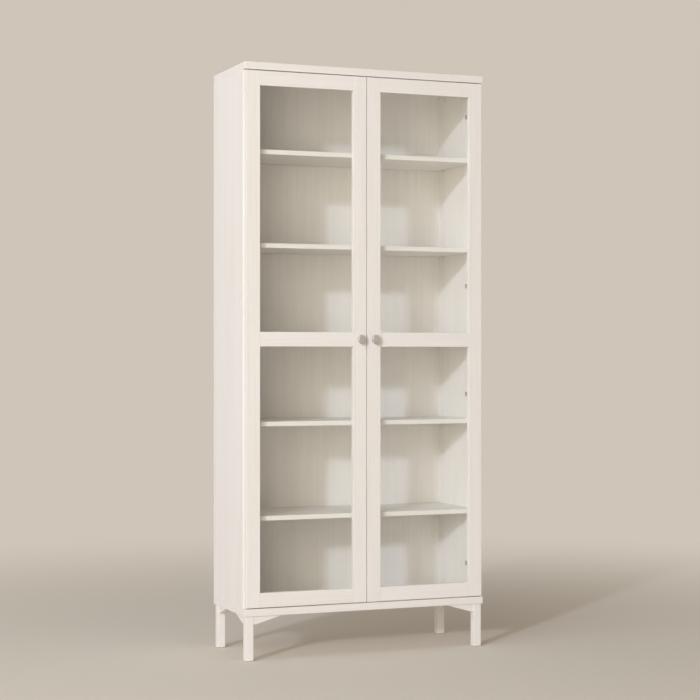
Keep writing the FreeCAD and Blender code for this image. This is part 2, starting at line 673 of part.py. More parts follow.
def tenon_blocks(bottom, slack=0.0):
    """The tenons of one rail, or with slack their mortises."""
    front = FRONT + TENON_FROM_FRONT - slack
    back = FRONT + TENON_FROM_FRONT + TENON_THICKNESS + slack
    low, high = bottom + TENON_SHOULDER - slack, bottom + RAIL_HEIGHT - TENON_SHOULDER + slack
    reach = TENON_LENGTH + slack
    left = box((PANE_LEFT - reach, front, low), (PANE_LEFT, back, high))
    right = box((PANE_RIGHT, front, low), (PANE_RIGHT + reach, back, high))
    return [left, right]


def mortises():
    return [block for bottom in RAIL_BOTTOMS.values() for block in tenon_blocks(bottom, FIT)]


def stile(left):
    board = box((left, FRONT, DOOR_BOTTOM), (left + STILE_WIDTH, DOOR_BACK, DOOR_TOP))
    return eased_front(board, Z_AXIS, FRONT).cut(rebates() + mortises())


def hinge_stile():
    screw_holes = at_levels(lambda level: cup_screws_at(level, FIT))
    return stile(DOOR_LEFT).cut(at_levels(cup_bores) + screw_holes)


def meeting_stile():
    return stile(DOOR_RIGHT - STILE_WIDTH).cut(knob_screw(FIT))


def rail(bottom):
    board = box((PANE_LEFT, FRONT, bottom), (PANE_RIGHT, DOOR_BACK, bottom + RAIL_HEIGHT))
    board = eased_front(board, X_AXIS, FRONT).cut(rebates())
    return fused(board, *tenon_blocks(bottom))


def glass(pane):
    return pane_block(pane, REBATE_WIDTH - GLASS_EDGE_GAP, GLASS_FRONT, BEAD_FRONT)


def glass_beads():
    """Four flat beads behind each pane, flush with the opening and with the door's back."""
    beads = []
    for low, high in PANES:
        bottom, top = low - REBATE_WIDTH, high + REBATE_WIDTH
        left, right = PANE_LEFT - REBATE_WIDTH, PANE_RIGHT + REBATE_WIDTH
        beads.append(box((left, BEAD_FRONT, bottom), (PANE_LEFT, DOOR_BACK, top)))
        beads.append(box((PANE_RIGHT, BEAD_FRONT, bottom), (right, DOOR_BACK, top)))
        beads.append(box((PANE_LEFT, BEAD_FRONT, bottom), (PANE_RIGHT, DOOR_BACK, low)))
        beads.append(box((PANE_LEFT, BEAD_FRONT, high), (PANE_RIGHT, DOOR_BACK, top)))
    return beads


# Knob and its screw

def knob_screw(slack=0.0):
    seat = (KNOB_X, DOOR_BACK, DOOR_MIDDLE)
    length = DOOR_THICKNESS + KNOB_SCREW_IN_KNOB
    return screw(seat, -Y_AXIS, KNOB_SCREW_RADIUS, length, KNOB_SCREW_HEAD_RADIUS,
                 KNOB_SCREW_HEAD_HEIGHT, slack)


def line(first, second):
    return Part.LineSegment(first, second).toShape()


def arc(first, middle, last):
    return Part.Arc(first, middle, last).toShape()


def knob_stem(length):
    """A round stem, waisted between its foot on the door and the head."""
    def at(radius, height):
        return Vector(radius, -height, 0)

    waist = (KNOB_FOOT_RADIUS - KNOB_NECK_RADIUS) * (1 - math.sqrt(0.5))
    bulge = KNOB_FLARE * (1 - math.sqrt(0.5))
    foot_end = at(KNOB_NECK_RADIUS, KNOB_FLARE)
    flare_start = at(KNOB_NECK_RADIUS, length - KNOB_FLARE)
    outline = Part.Wire([
        line(at(0, 0), at(KNOB_FOOT_RADIUS, 0)),
        arc(at(KNOB_FOOT_RADIUS, 0), at(KNOB_NECK_RADIUS + waist, bulge), foot_end),
        line(foot_end, flare_start),
        arc(flare_start, at(KNOB_NECK_RADIUS + waist, length - bulge), at(KNOB_FOOT_RADIUS, length)),
        line(at(KNOB_FOOT_RADIUS, length), at(0, length)),
        line(at(0, length), at(0, 0)),
    ])
    return Part.Face(outline).revolve(Vector(0, 0, 0), Y_AXIS, 360)


def knob_head(back):
    """An upright oval head from a back plane forward, with a pillowed face."""
    half_width, half_straight = KNOB_WIDTH / 2, KNOB_STRAIGHT / 2

    def at(x, z):
        return Vector(x, back, z)

    end_rise = half_straight + half_width
    outline = Part.Wire([
        line(at(half_width, -half_straight), at(half_width, half_straight)),
        arc(at(half_width, half_straight), at(0, end_rise), at(-half_width, half_straight)),
        line(at(-half_width, half_straight), at(-half_width, -half_straight)),
        arc(at(-half_width, -half_straight), at(0, -end_rise), at(half_width, -half_straight)),
    ])
    head = Part.Face(outline).extrude(-Y_AXIS * KNOB_HEAD_DEPTH)
    head = head.makeFillet(KNOB_FACE_ROUND, edges_in_plane(head, Y_AXIS, back - KNOB_HEAD_DEPTH))
    return head.makeFillet(KNOB_UNDER_ROUND, edges_in_plane(head, Y_AXIS, back))


def knob():
    """A cast knob on the meeting stile: a round stem and an oval head."""
    stem_length = KNOB_PROJECTION - KNOB_HEAD_DEPTH
    cast = fused(knob_stem(stem_length), knob_head(-stem_length))
    cast.translate(Vector(KNOB_X, FRONT, DOOR_MIDDLE))
    return cast.cut(knob_screw(FIT))


# Every node

def left_door_pieces():
    pieces = {
        "hinge_stile": [hinge_stile()],
        "meeting_stile": [meeting_stile()],
        "lower_glass": [glass(LOWER_PANE)],
        "upper_glass": [glass(UPPER_PANE)],
        "glass_beads": glass_beads(),
        "hinge_cups": at_levels(hinge_cup),
        "hinge_cup_pins": at_levels(door_pivot_pins),
        "hinge_cup_screws": at_levels(cup_screws_at),
        "knob": [knob()],
        "knob_screw": [knob_screw()],
    }
    for name, bottom in RAIL_BOTTOMS.items():
        pieces[name] = [rail(bottom)]
    return pieces


def cabinet_pieces():
    pieces = {
        "top_panel": [top_panel()],
        "base_panel": [base_panel()],
        "back_joint_strip": [back_joint_strip()],
        "middle_shelf": [middle_shelf()],
        "shelf_pins": both_sides(left_shelf_pins()),
        "carcass_dowels": both_sides([dowel for joint in CARCASS_JOINTS for dowel in joint.dowels()]),
        "cam_bolts": both_sides([bolt for joint in CARCASS_JOINTS for bolt in joint.bolts()]),
        "cam_locks": both_sides([cam for joint in CARCASS_JOINTS for cam in joint.cams()]),
        "cam_caps": both_sides([cap for joint in CARCASS_JOINTS for cap in joint.cam_caps()]),
        "leg_bolts": leg_bolts(),
        "foot_glides": foot_glides(),
        "front_brackets": front_brackets(),
        "back_brackets": back_brackets(),
        "hinge_plates": both_sides(at_levels(hinge_plate)),
        "hinge_plate_screws": both_sides(plate_screws()),
        "hinge_arms": both_sides(at_levels(hinge_arm)),
        "hinge_arm_pins": both_sides(at_levels(arm_pins)),
    }
    for name, top in LOOSE_SHELVES.items():
        pieces[name] = [shelf(top, SHELF_END_GAP)]
    return pieces


def handed_pieces():
    """Left-hand pieces that have a right-hand partner in a node of its own."""
    pieces = {
        "{}_side_panel": [left_side_panel()],
        "back_panel_{}": [back_panel_left()],
        "front_{}_leg": [left_leg(LEG_FRONT)],
        "back_{}_leg": [left_leg(LEG_BACK)],
        "{}_side_brackets": left_brackets(),
        "{}_hinge_links": at_levels(hinge_link),
    }
    for name, shapes in left_door_pieces().items():
        pieces["{}_door_" + name] = shapes
    return pieces


def export(name, shapes):
    shape = shapes[0] if len(shapes) == 1 else Part.makeCompound(shapes)
    shape.exportStep(os.path.join("parts", name + ".step"))


def main():
    os.makedirs("parts", exist_ok=True)
    for name, shapes in cabinet_pieces().items():
        export(name, shapes)
    for name, shapes in handed_pieces().items():
        export(name.format("left"), shapes)
        export(name.format("right"), [mirrored(shape) for shape in shapes])


main()
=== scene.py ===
"""Finishes, stage, light and camera for the two-door glazed display cabinet.

Metres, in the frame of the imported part: +Z is up, the doors face -Y and the floor is at Z = 0.
"""

import logging
import math
from dataclasses import dataclass
from enum import Enum
from typing import Any

import bmesh
import bpy
from mathutils import Matrix, Vector


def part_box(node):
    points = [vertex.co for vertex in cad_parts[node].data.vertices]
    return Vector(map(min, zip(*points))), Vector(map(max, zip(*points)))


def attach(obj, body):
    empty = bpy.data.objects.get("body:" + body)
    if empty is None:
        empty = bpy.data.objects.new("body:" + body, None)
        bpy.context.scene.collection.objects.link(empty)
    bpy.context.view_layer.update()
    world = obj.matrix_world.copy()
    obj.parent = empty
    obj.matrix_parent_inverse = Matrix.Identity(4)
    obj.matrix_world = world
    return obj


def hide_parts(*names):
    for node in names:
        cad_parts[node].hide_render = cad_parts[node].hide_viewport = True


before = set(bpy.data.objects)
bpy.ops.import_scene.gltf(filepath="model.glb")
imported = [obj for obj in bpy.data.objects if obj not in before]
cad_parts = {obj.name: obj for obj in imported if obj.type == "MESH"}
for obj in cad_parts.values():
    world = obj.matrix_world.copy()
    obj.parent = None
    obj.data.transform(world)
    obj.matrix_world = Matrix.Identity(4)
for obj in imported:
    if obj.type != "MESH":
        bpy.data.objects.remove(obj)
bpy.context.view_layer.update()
MM = 0.001
PHOTO_SIDE_PX = 700
SHARP_EDGE_DEG = 35.0
log = logging.getLogger("display_cabinet")

Colour = tuple[float, float, float, float]

# Sockets of Blender's Mix node when it mixes colours
MIX_FACTOR, MIX_FIRST, MIX_SECOND, MIX_RESULT = 0, 6, 7, 2


# Shared tools

def linear(hex_colour: str) -> Colour:
    """Turns an sRGB hex colour into linear light.

    Args:
        hex_colour: A hash sign and six hex digits.

    Returns:
        Linear red, green and blue, and an alpha of 1.
    """
    channels = [int(hex_colour[start:start + 2], 16) / 255 for start in (1, 3, 5)]
    red, green, blue = (c / 12.92 if c <= 0.04045 else ((c + 0.055) / 1.055) ** 2.4 for c in channels)
    return red, green, blue, 1.0


def add_node(tree: bpy.types.NodeTree, kind: str, inputs: dict[str | int, Any] | None = None,
             **settings: Any) -> bpy.types.Node:
    """Adds a node with its settings and links.

    Args:
        tree: The node tree that gets the node.
        kind: Blender's name for the type of node.
        inputs: A value, a socket or a node (its first output) for each named or numbered input.
        **settings: Properties of the node itself.

    Returns:
        The new node.
    """
    node = tree.nodes.new(kind)
    for name, value in settings.items():
        setattr(node, name, value)
    for key, value in (inputs or {}).items():
        if isinstance(value, bpy.types.Node):
            value = value.outputs[0]
        if isinstance(value, bpy.types.NodeSocket):
            tree.links.new(value, node.inputs[key])
        else:
            node.inputs[key].default_value = value
    return node


def new_material(name: str) -> bpy.types.Material:
    """Makes a material with an empty node tree.

    Args:
        name: The material's name.

    Returns:
        The material.
    """
    material = bpy.data.materials.new(name)
    material.use_nodes = True
    material.node_tree.nodes.clear()
    return material


def paint(node: str, material: bpy.types.Material) -> None:
    """Puts one material in every slot of a CAD node.

    Args:
        node: The CAD node's name.
        material: What it is finished with.
    """
    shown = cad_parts[node]
    for slot in shown.material_slots:
        slot.material = material
    log.info("%s: %s", node, material.name)


# Finishes

class Grain(Enum):
    """The way that a board's grain runs, as an axis of the part's frame."""

    ACROSS = 0
    DEEP = 1
    UPRIGHT = 2


@dataclass(frozen=True)
class WhiteWoodFoil:
    """White wood-effect foil, printed and embossed, pressed on to particle board.

    It looks satin and warm white, with straight streaks a few millimetres wide that are barely
    darker, and fine pressed pores that break up the gloss.
    """

    pale: str = "#F5F3F0"
    streak: str = "#F0ECE7"
    pore: str = "#E5DFD8"
    streak_width_mm: float = 7.0
    streak_length_mm: float = 420.0
    band_width_mm: float = 45.0
    band_length_mm: float = 1400.0
    # Real pores are about 0.3 mm wide; they are drawn wider so that they show in a close view
    pore_width_mm: float = 1.1
    pore_length_mm: float = 26.0
    pore_strength: float = 0.35
    emboss_depth_mm: float = 0.12
    emboss_strength: float = 0.15
    gloss_roughness: float = 0.42
    pore_roughness: float = 0.6
    ior: float = 1.46
    # Values of the noise between which a streak or a pore comes in
    streak_onset: tuple[float, float] = (0.14, 0.36)
    pore_onset: tuple[float, float] = (0.56, 0.68)
    # How far apart in the print two boards can be cut, in metres
    cut_spread: tuple[float, float, float] = (7.0, 11.0, 13.0)

    def stretched(self, tree: bpy.types.NodeTree, source: bpy.types.Node, grain: Grain,
                  width_mm: float, length_mm: float) -> bpy.types.Node:
        """Adds noise drawn out along the grain.

        Args:
            tree: The material's nodes.
            source: The node that gives the coordinates, in metres.
            grain: The axis that the noise is drawn out along.
            width_mm: Size of a streak across the grain.
            length_mm: Size of a streak along the grain.

        Returns:
            The noise node.
        """
        scale = [1 / (width_mm * MM)] * 3
        scale[grain.value] = 1 / (length_mm * MM)
        placed = add_node(tree, "ShaderNodeMapping", {"Vector": source, "Scale": scale})
        return add_node(tree, "ShaderNodeTexNoise",
                        {"Vector": placed, "Scale": 1.0, "Detail": 3.0, "Roughness": 0.6})

    def make(self, name: str, grain: Grain) -> bpy.types.Material:
        """Makes the foil with its grain along one axis.

        Args:
            name: The material's name.
            grain: The way that the grain runs.

        Returns:
            The material.
        """
        material = new_material(name)
        tree = material.node_tree
        place = add_node(tree, "ShaderNodeTexCoord")
        # Every board is cut from another part of the print
        piece = add_node(tree, "ShaderNodeObjectInfo")
        apart = add_node(tree, "ShaderNodeVectorMath",
                         {0: self.cut_spread, "Scale": piece.outputs["Random"]}, operation="SCALE")
        cut = add_node(tree, "ShaderNodeVectorMath",
                       {0: place.outputs["Object"], 1: apart}, operation="ADD")
        streaks = self.stretched(tree, cut, grain, self.streak_width_mm, self.streak_length_mm)
        bands = self.stretched(tree, cut, grain, self.band_width_mm, self.band_length_mm)
        pores = self.stretched(tree, cut, grain, self.pore_width_mm, self.pore_length_mm)
        both = add_node(tree, "ShaderNodeMath", {0: streaks, 1: bands}, operation="MULTIPLY")
        streaked = add_node(tree, "ShaderNodeMapRange", {
            "Value": both,
            "From Min": self.streak_onset[0],
            "From Max": self.streak_onset[1],
        })
        pored = add_node(tree, "ShaderNodeMapRange", {
            "Value": pores,
            "From Min": self.pore_onset[0],
            "From Max": self.pore_onset[1],
        })
        faint = add_node(tree, "ShaderNodeMath", {0: pored, 1: self.pore_strength}, operation="MULTIPLY")
        tone = add_node(tree, "ShaderNodeMix", {
            MIX_FACTOR: streaked,
            MIX_FIRST: linear(self.pale),
            MIX_SECOND: linear(self.streak),
        }, data_type="RGBA")
        colour = add_node(tree, "ShaderNodeMix", {
            MIX_FACTOR: faint,
            MIX_FIRST: tone.outputs[MIX_RESULT],
            MIX_SECOND: linear(self.pore),
        }, data_type="RGBA")
        roughness = add_node(tree, "ShaderNodeMapRange", {
            "Value": pored,
            "To Min": self.gloss_roughness,
            "To Max": self.pore_roughness,
        })
        sunk = add_node(tree, "ShaderNodeMath", {0: streaked, 1: pored}, operation="ADD")
        bump = add_node(tree, "ShaderNodeBump", {
            "Height": sunk,
            "Distance": self.emboss_depth_mm * MM,
            "Strength": self.emboss_strength,
        }, invert=True)
        surface = add_node(tree, "ShaderNodeBsdfPrincipled", {
            "Base Color": colour.outputs[MIX_RESULT],
            "Roughness": roughness,
            "Normal": bump,
            "IOR": self.ior,
        })
        add_node(tree, "ShaderNodeOutputMaterial", {"Surface": surface})
        return material


@dataclass(frozen=True)
class FloatGlass:
    """Clear float glass, 4 mm thick: flat, polished and very faintly green.

    Lamps shine through it, so that the shelves behind are lit.
    """

    tint: str = "#FEFFFE"
    ior: float = 1.52
    roller_wave_mm: float = 180.0
    wave_depth_mm: float = 0.004

    def make(self, name: str) -> bpy.types.Material:
        """Makes the glass.

        Args:
            name: The material's name.

        Returns:
            The material.
        """
        material = new_material(name)
        tree = material.node_tree
        place = add_node(tree, "ShaderNodeTexCoord")
        wave = add_node(tree, "ShaderNodeTexNoise", {
            "Vector": place.outputs["Object"],
            "Scale": 1 / (self.roller_wave_mm * MM),
            "Detail": 0.0,
        })
        bump = add_node(tree, "ShaderNodeBump", {"Height": wave, "Distance": self.wave_depth_mm * MM})
        pane = add_node(tree, "ShaderNodeBsdfPrincipled", {
            "Base Color": linear(self.tint),
            "Roughness": 0.0,
            "IOR": self.ior,
            "Transmission Weight": 1.0,
            "Normal": bump,
        })
        lit_through = add_node(tree, "ShaderNodeBsdfTransparent", {"Color": linear(self.tint)})
        path = add_node(tree, "ShaderNodeLightPath")
        lighting_ray = add_node(tree, "ShaderNodeMath", {
            0: path.outputs["Is Shadow Ray"],
            1: path.outputs["Is Diffuse Ray"],
        }, operation="MAXIMUM")
        mixed = add_node(tree, "ShaderNodeMixShader", {0: lighting_ray, 1: pane, 2: lit_through})
        add_node(tree, "ShaderNodeOutputMaterial", {"Surface": mixed})
        return material


@dataclass(frozen=True)
class FittingMetal:
    """Metal of a fitting, plated or bare: cast, pressed, headed or ground.

    Fine scratches from the tool spread the gloss, and the tone drifts a little over the piece.
    """

    light: str
    dark: str
    roughness: float
    roughness_spread: float = 0.05
    scratch_mm: float = 0.8
    cloud_mm: float = 9.0

    def make(self, name: str) -> bpy.types.Material:
        """Makes the metal.

        Args:
            name: The material's name.

        Returns:
            The material.
        """
        material = new_material(name)
        tree = material.node_tree
        place = add_node(tree, "ShaderNodeTexCoord")
        cloud = add_node(tree, "ShaderNodeTexNoise", {
            "Vector": place.outputs["Object"],
            "Scale": 1 / (self.cloud_mm * MM),
            "Detail": 2.0,
        })
        scratch = add_node(tree, "ShaderNodeTexNoise", {
            "Vector": place.outputs["Object"],
            "Scale": 1 / (self.scratch_mm * MM),
            "Detail": 4.0,
        })
        tone = add_node(tree, "ShaderNodeMix", {
            MIX_FACTOR: cloud,
            MIX_FIRST: linear(self.light),
            MIX_SECOND: linear(self.dark),
        }, data_type="RGBA")
        roughness = add_node(tree, "ShaderNodeMapRange", {
            "Value": scratch,
            "To Min": self.roughness - self.roughness_spread,
            "To Max": self.roughness + self.roughness_spread,
        })
        surface = add_node(tree, "ShaderNodeBsdfPrincipled", {
            "Base Color": tone.outputs[MIX_RESULT],
            "Metallic": 1.0,
            "Roughness": roughness,
        })
        add_node(tree, "ShaderNodeOutputMaterial", {"Surface": surface})
        return material


@dataclass(frozen=True)
class MouldedPlastic:
    """Plastic moulded in a spark-eroded tool or drawn through a die.

    The colour is even, and the surface is finely pebbled, which dulls the gloss.
    """

    light: str
    dark: str
    roughness: float = 0.45
    ior: float = 1.49
    pebble_mm: float = 0.6
    pebble_depth_mm: float = 0.03

    def make(self, name: str) -> bpy.types.Material:
        """Makes the plastic.

        Args:
            name: The material's name.

        Returns:
            The material.
        """
        material = new_material(name)
        tree = material.node_tree
        place = add_node(tree, "ShaderNodeTexCoord")
        pebble = add_node(tree, "ShaderNodeTexNoise", {
            "Vector": place.outputs["Object"],
            "Scale": 1 / (self.pebble_mm * MM),
            "Detail": 2.0,
        })
        tone = add_node(tree, "ShaderNodeMix", {
            MIX_FACTOR: pebble,
            MIX_FIRST: linear(self.light),
            MIX_SECOND: linear(self.dark),
        }, data_type="RGBA")
        bump = add_node(tree, "ShaderNodeBump", {"Height": pebble, "Distance": self.pebble_depth_mm * MM})
        surface = add_node(tree, "ShaderNodeBsdfPrincipled", {
            "Base Color": tone.outputs[MIX_RESULT],
            "Roughness": self.roughness,
            "Normal": bump,
            "IOR": self.ior,
        })
        add_node(tree, "ShaderNodeOutputMaterial", {"Surface": surface})
        return material


@dataclass(frozen=True)
class TurnedBeech:
    """Beech turned to dowels: pale pinkish brown with short darker flecks along the grain."""

    pale: str = "#D9B48A"
    fleck: str = "#B98F63"
    fleck_width_mm: float = 0.8
    fleck_length_mm: float = 4.0
    roughness: float = 0.6

    def make(self, name: str) -> bpy.types.Material:
        """Makes the beech.

        Args:
            name: The material's name.

        Returns:
            The material.
        """
        material = new_material(name)
        tree = material.node_tree
        place = add_node(tree, "ShaderNodeTexCoord")
        narrow, long = 1 / (self.fleck_width_mm * MM), 1 / (self.fleck_length_mm * MM)
        placed = add_node(tree, "ShaderNodeMapping",
                          {"Vector": place.outputs["Object"], "Scale": (narrow, narrow, long)})
        flecks = add_node(tree, "ShaderNodeTexNoise", {"Vector": placed, "Scale": 1.0, "Detail": 2.0})
        tone = add_node(tree, "ShaderNodeMix", {
            MIX_FACTOR: flecks,
            MIX_FIRST: linear(self.pale),
            MIX_SECOND: linear(self.fleck),
        }, data_type="RGBA")
        surface = add_node(tree, "ShaderNodeBsdfPrincipled",
                           {"Base Color": tone.outputs[MIX_RESULT], "Roughness": self.roughness})
        add_node(tree, "ShaderNodeOutputMaterial", {"Surface": surface})
        return material


class Palette:
    """Every finish of the cabinet, each made once."""

    def __init__(self) -> None:
        """Makes the materials."""
        foil = WhiteWoodFoil()
        self.foil = {grain: foil.make(f"white_wood_foil_{grain.name.lower()}", grain) for grain in Grain}
        self.glass = FloatGlass().make("clear_float_glass")
        # Blasted before plating: a soft, wide highlight on pale grey
        self.knob = FittingMetal("#E2DFDC", "#D6D3D0", roughness=0.45).make("satin_nickel_cast")
        # Plated over rolled sheet: mid grey, with a fairly sharp gloss
        self.hinge = FittingMetal("#C6C2BB", "#B4B0AA", roughness=0.30).make("nickel_plated_steel_pressed")
        # Thinly plated: pale and bright, with a faint cloud
        self.fastener = FittingMetal("#D4D2CD", "#C6C4BF", roughness=0.30).make("zinc_plated_steel_headed")
        # Ground true and left bare: the sharpest gloss of the metals
        self.pin = FittingMetal("#CFCECB", "#C3C2BF", roughness=0.22).make("steel_pin_ground")
        # Left as cast: darker and dull, with clouds from the die
        self.cam = FittingMetal("#B3B4B6", "#97989A", roughness=0.4).make("zinc_alloy_die_cast")
        self.dowel = TurnedBeech().make("beech_turned")
        # Cap and strip match the foil, and the glide is a little greyer
        self.cap = MouldedPlastic("#F1ECE5", "#EAE4DC").make("white_polypropylene_moulded")
        self.glide = MouldedPlastic("#E9E6E0", "#DDD9D2").make("polyethylene_moulded")
        self.strip = MouldedPlastic("#F3F1ED", "#EFEDE8").make("white_pvc_extruded")


# Small fastenings

@dataclass(frozen=True)
class CrossScrew:
    """A pan-head screw with a cross recess; sizes in millimetres."""

    head_radius: float
    head_height: float
    shank_radius: float
    shank_length: float
    sides: int = 24
    # Shares of the shank's radius and length
    tip_radius: float = 0.3
    taper_start: float = 0.8
    # Shares of the head's radius and height, from its seat to the flat on top
    head_curve: tuple[tuple[float, float], ...] = (
        (1.0, 0.0), (1.0, 0.4), (0.92, 0.75), (0.78, 0.94), (0.66, 1.0))
    # Shares of the head's radius, and of its height for the depth
    mouth_reach: float = 0.52
    floor_reach: float = 0.34
    arm_half_width: float = 0.12
    recess_depth: float = 0.7

    def profile(self) -> list[tuple[float, float]]:
        """Gives the rings of the screw's outline.

        Returns:
            Radius and height of each ring, from the shank's tip to the flat of the head.
        """
        shank = [
            (self.tip_radius * self.shank_radius, -self.shank_length),
            (self.shank_radius, -self.taper_start * self.shank_length),
            (self.shank_radius, 0.0),
        ]
        head = [(radius * self.head_radius, height * self.head_height)
                for radius, height in self.head_curve]
        return shank + head

    def recess(self, reach: float, height: float) -> list[Vector]:
        """Gives the corners of the cross at one height.

        Args:
            reach: How far its arms go, as a share of the head's radius.
            height: Level above the seat.

        Returns:
            Twelve corners in order round the cross.
        """
        tip, half = reach * self.head_radius, self.arm_half_width * self.head_radius
        arm = [(tip, -half), (tip, half), (half, half)]
        turns = [Matrix.Rotation(quarter * math.pi / 2, 3, "Z") for quarter in range(4)]
        return [turn @ Vector((x, y, height)) for turn in turns for x, y in arm]

    def add_to(self, mesh: bmesh.types.BMesh, seat: Vector, outward: Vector) -> None:
        """Adds one screw to a mesh.

        Args:
            mesh: The mesh that grows.
            seat: Where the head's underside bears, in metres.
            outward: The way that the head faces.
        """
        turned = outward.to_track_quat("Z", "Y").to_matrix().to_4x4()
        placed = Matrix.Translation(seat) @ turned @ Matrix.Scale(MM, 4)
        angles = [2 * math.pi * side / self.sides for side in range(self.sides)]
        rings = [[Vector((radius * math.cos(angle), radius * math.sin(angle), height)) for angle in angles]
                 for radius, height in self.profile()]
        rings = [[mesh.verts.new(placed @ point) for point in ring] for ring in rings]
        top = self.head_height
        bottom = top - self.recess_depth * top
        mouth = [mesh.verts.new(placed @ point) for point in self.recess(self.mouth_reach, top)]
        floor = [mesh.verts.new(placed @ point) for point in self.recess(self.floor_reach, bottom)]
        for lower, upper in zip(rings, rings[1:]):
            bridge(mesh, lower, upper)
        bridge(mesh, mouth, floor)
        mesh.faces.new(floor)
        mesh.faces.new(list(reversed(rings[0])))
        edges = [mesh.edges.get((loop[i - 1], loop[i])) or mesh.edges.new((loop[i - 1], loop[i]))
                 for loop in (rings[-1], mouth) for i in range(len(loop))]
        bmesh.ops.triangle_fill(mesh, use_beauty=True, edges=edges)


def bridge(mesh: bmesh.types.BMesh, lower: list[bmesh.types.BMVert],
           upper: list[bmesh.types.BMVert]) -> None:
    """Joins two closed rings with four-sided faces.

    Args:
        mesh: The mesh that grows.
        lower: Points of the first ring, in order.
        upper: As many points of the second ring, in the same order.
    """
    for i in range(len(lower)):
        mesh.faces.new((lower[i - 1], lower[i], upper[i], upper[i - 1]))


def screw_piece(name: str, screw: CrossScrew, places: list[tuple[Vector, Vector]], body: str,
                material: bpy.types.Material) -> bpy.types.Object:
    """Makes one piece of several equal screws.

    Args:
        name: The piece's name.
        screw: The kind of screw.
        places: A seat and an outward direction for each screw.
        body: The body that carries them.
        material: What they are made of.

    Returns:
        The piece, which rides on the body.
    """
    shape = bmesh.new()
    for seat, outward in places:
        screw.add_to(shape, seat, outward)
    bmesh.ops.recalc_face_normals(shape, faces=shape.faces)
    mesh = bpy.data.meshes.new(name)
    shape.to_mesh(mesh)
    shape.free()
    mesh.shade_smooth()
    mesh.set_sharp_from_angle(angle=math.radians(SHARP_EDGE_DEG))
    mesh.materials.append(material)
    piece = bpy.data.objects.new(name, mesh)
    bpy.context.scene.collection.objects.link(piece)
    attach(piece, body)
    log.info("%s: %d screws", name, len(places))
    return piece


@dataclass(frozen=True)
class HingeLevels:
    """Heights of the four hinges of a door, in millimetres from the door's ends and middle."""

    from_ends: float = 110.0
    from_middle: float = 195.0

    def heights(self) -> list[float]:
        """Works out the hinges' heights.

        Returns:
            Heights above the floor in metres, lowest first.
        """
        low, high = (corner[2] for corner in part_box("left_door_hinge_stile"))
        middle = (low + high) / 2
        ends, inner = self.from_ends * MM, self.from_middle * MM
        return [low + ends, middle - inner, middle + inner, high - ends]


# Sub-assemblies of the cabinet

@dataclass
class Carcass:
    """Top, base, sides, the two-part back and the fittings that hold them together."""

    palette: Palette

    def dress(self) -> None:
        """Finishes the boards with their grain along their length, and the fittings."""
        for node in ("top_panel", "base_panel"):
            paint(node, self.palette.foil[Grain.ACROSS])
        for node in ("left_side_panel", "right_side_panel", "back_panel_left", "back_panel_right"):
            paint(node, self.palette.foil[Grain.UPRIGHT])
        paint("back_joint_strip", self.palette.strip)
        paint("carcass_dowels", self.palette.dowel)
        paint("cam_bolts", self.palette.fastener)
        paint("cam_locks", self.palette.cam)
        paint("cam_caps", self.palette.cap)


@dataclass
class Shelving:
    """Five shelves, four of them on pins."""

    palette: Palette

    def dress(self) -> None:
        """Finishes the shelves with their grain across the cabinet, and the pins."""
        for level in ("bottom", "lower", "middle", "upper", "top"):
            paint(f"{level}_shelf", self.palette.foil[Grain.ACROSS])
        paint("shelf_pins", self.palette.fastener)


@dataclass
class Stand:
    """Four legs with the sloped brackets beside them."""

    palette: Palette

    def dress(self) -> None:
        """Finishes legs and brackets with their grain along their length, and the fittings."""
        for end in ("front", "back"):
            for side in ("left", "right"):
                paint(f"{end}_{side}_leg", self.palette.foil[Grain.UPRIGHT])
            paint(f"{end}_brackets", self.palette.foil[Grain.ACROSS])
        for side in ("left", "right"):
            paint(f"{side}_side_brackets", self.palette.foil[Grain.DEEP])
        paint("leg_bolts", self.palette.fastener)
        paint("foot_glides", self.palette.glide)


class Side(Enum):
    """Which of the two doors; the value starts the names of its nodes."""

    LEFT = "left"
    RIGHT = "right"


